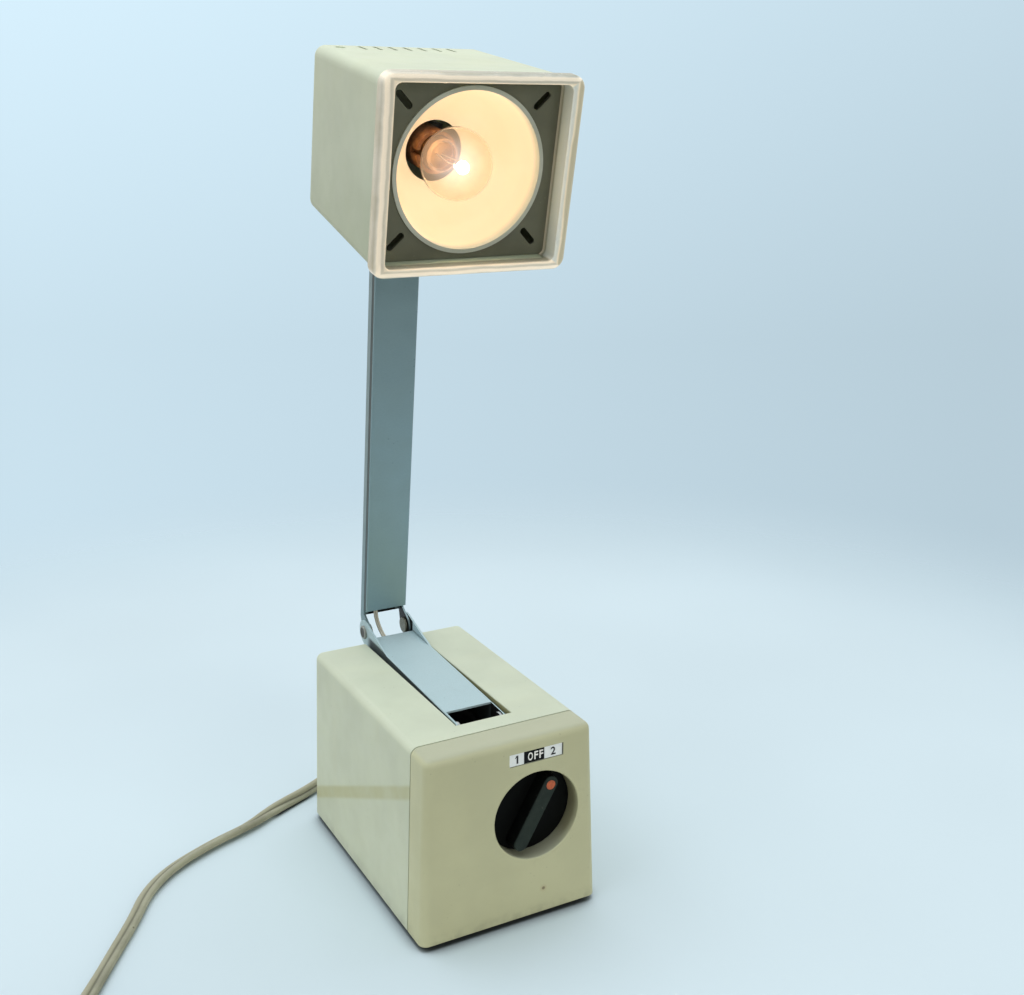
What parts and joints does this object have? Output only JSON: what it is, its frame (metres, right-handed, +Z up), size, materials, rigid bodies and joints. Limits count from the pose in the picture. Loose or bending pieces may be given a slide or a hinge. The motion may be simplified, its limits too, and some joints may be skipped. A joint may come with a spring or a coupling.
{
  "type": "telescopic table lamp",
  "caption": "Small table lamp: a boxy base with a rotary switch, a folding arm that telescopes, and a tilting square head with a clear frame, a reflector and a globe bulb.",
  "frame": {"origin": "centre of the lamp's bounding box, cord left out, on the plane the feet rest on", "axes": "+Z up, -Y towards the front of the lamp with its knob, +X to the right seen from the front"},
  "size_m": [0.3008, 0.2744, 0.394],
  "materials": {
    "arm_aluminium": "satin grey-blue aluminium sheet",
    "baffle_paint": "dark olive grey paint",
    "bobbin_plastic": "natural nylon",
    "bracket_steel": "zinc plated sheet",
    "brass": "plain brass",
    "bulb_glass": "clear bulb glass",
    "clear_plastic": "clear moulded acrylic",
    "cord_plastic": "beige twin flex",
    "core_steel": "laminated iron",
    "cover_plastic": "warm beige moulded plastic",
    "dot_orange": "orange inlay",
    "filament_wire": "tungsten and support wire",
    "guide_nylon": "black nylon",
    "housing_plastic": "beige moulded plastic",
    "knob_plastic": "dark grey knob plastic",
    "label_print": "printed label plate",
    "phenolic": "brown phenolic",
    "plate_metal": "black painted sheet",
    "reflector_aluminium": "polished spun aluminium",
    "rivet_bronze": "dull bronze rivet",
    "rubber": "black rubber",
    "screw_steel": "plated screw steel",
    "shaft_steel": "turned steel",
    "strap_steel": "bright steel strap",
    "tie_plastic": "black tie",
    "winding_copper": "enamelled copper",
    "wire_plastic": "beige wire insulation"
  },
  "bodies": {
    "base": {"base_housing": "housing_plastic", "front_cover": "cover_plastic", "base_plate": "plate_metal", "rubber_feet": "rubber", "base_screws": "screw_steel", "transformer_core": "core_steel", "transformer_bobbin": "bobbin_plastic", "transformer_primary": "winding_copper", "transformer_secondary": "winding_copper", "transformer_strap": "strap_steel", "transformer_screws": "screw_steel", "switch_body": "phenolic", "switch_nut": "screw_steel", "switch_terminals": "brass", "label_plate": "label_print", "arm_bracket": "bracket_steel", "arm_bracket_screws": "screw_steel", "arm_pivot_pin": "shaft_steel", "cord_gland": "cord_plastic", "power_cord": "cord_plastic", "cord_coil": "cord_plastic", "cord_tie": "tie_plastic", "plug_body": "cord_plastic", "plug_pins": "brass"},
    "knob_body": {"knob": "knob_plastic", "knob_indicator": "dot_orange", "switch_shaft": "shaft_steel"},
    "lower_arm": {"lower_arm_channel": "arm_aluminium", "lower_arm_wire": "wire_plastic", "elbow_rivets": "rivet_bronze", "elbow_wire": "wire_plastic"},
    "upper_arm": {"upper_arm_rear_channel": "arm_aluminium", "upper_arm_wire": "wire_plastic", "slide_stop": "bracket_steel"},
    "slider": {"upper_arm_front_channel": "arm_aluminium", "slide_guides": "guide_nylon", "slider_wire": "wire_plastic", "head_lead": "wire_plastic"},
    "head": {"head_shell": "housing_plastic", "front_frame": "clear_plastic", "baffle_plate": "baffle_paint", "reflector": "reflector_aluminium", "socket_shell": "brass", "socket_base": "phenolic", "socket_contacts": "brass", "socket_bracket": "bracket_steel", "bulb_glass": "bulb_glass", "bulb_cap": "brass", "bulb_filament": "filament_wire", "head_bracket": "bracket_steel", "head_bracket_screws": "screw_steel", "head_pivot_pin": "shaft_steel"}
  },
  "joints": [
    {"name": "knob_turn", "type": "hinge", "parent": "base", "child": "knob_body", "pos_m": [0.0134, -0.07446, 0.0547], "axis": [0, 1, 0], "range_deg": [-60, 0]},
    {"name": "lower_arm_raise", "type": "hinge", "parent": "base", "child": "lower_arm", "pos_m": [0, -0.04176, 0.08803], "axis": [1, 0, 0], "range_deg": [0, 90]},
    {"name": "elbow_turn", "type": "hinge", "parent": "lower_arm", "child": "upper_arm", "pos_m": [0, 0.06796, 0.09913], "axis": [-1, 0, 0], "range_deg": [-82, 96], "deforming": ["elbow_wire"]},
    {"name": "arm_slide", "type": "slide", "parent": "upper_arm", "child": "slider", "axis": [0, -0.1461, 0.9893], "range_m": [0, 0.1]},
    {"name": "head_tilt", "type": "hinge", "parent": "slider", "child": "head", "pos_m": [0, 0.04047, 0.31442], "axis": [1, 0, 0], "range_deg": [-65, 70], "deforming": ["head_lead"]}
  ]
}
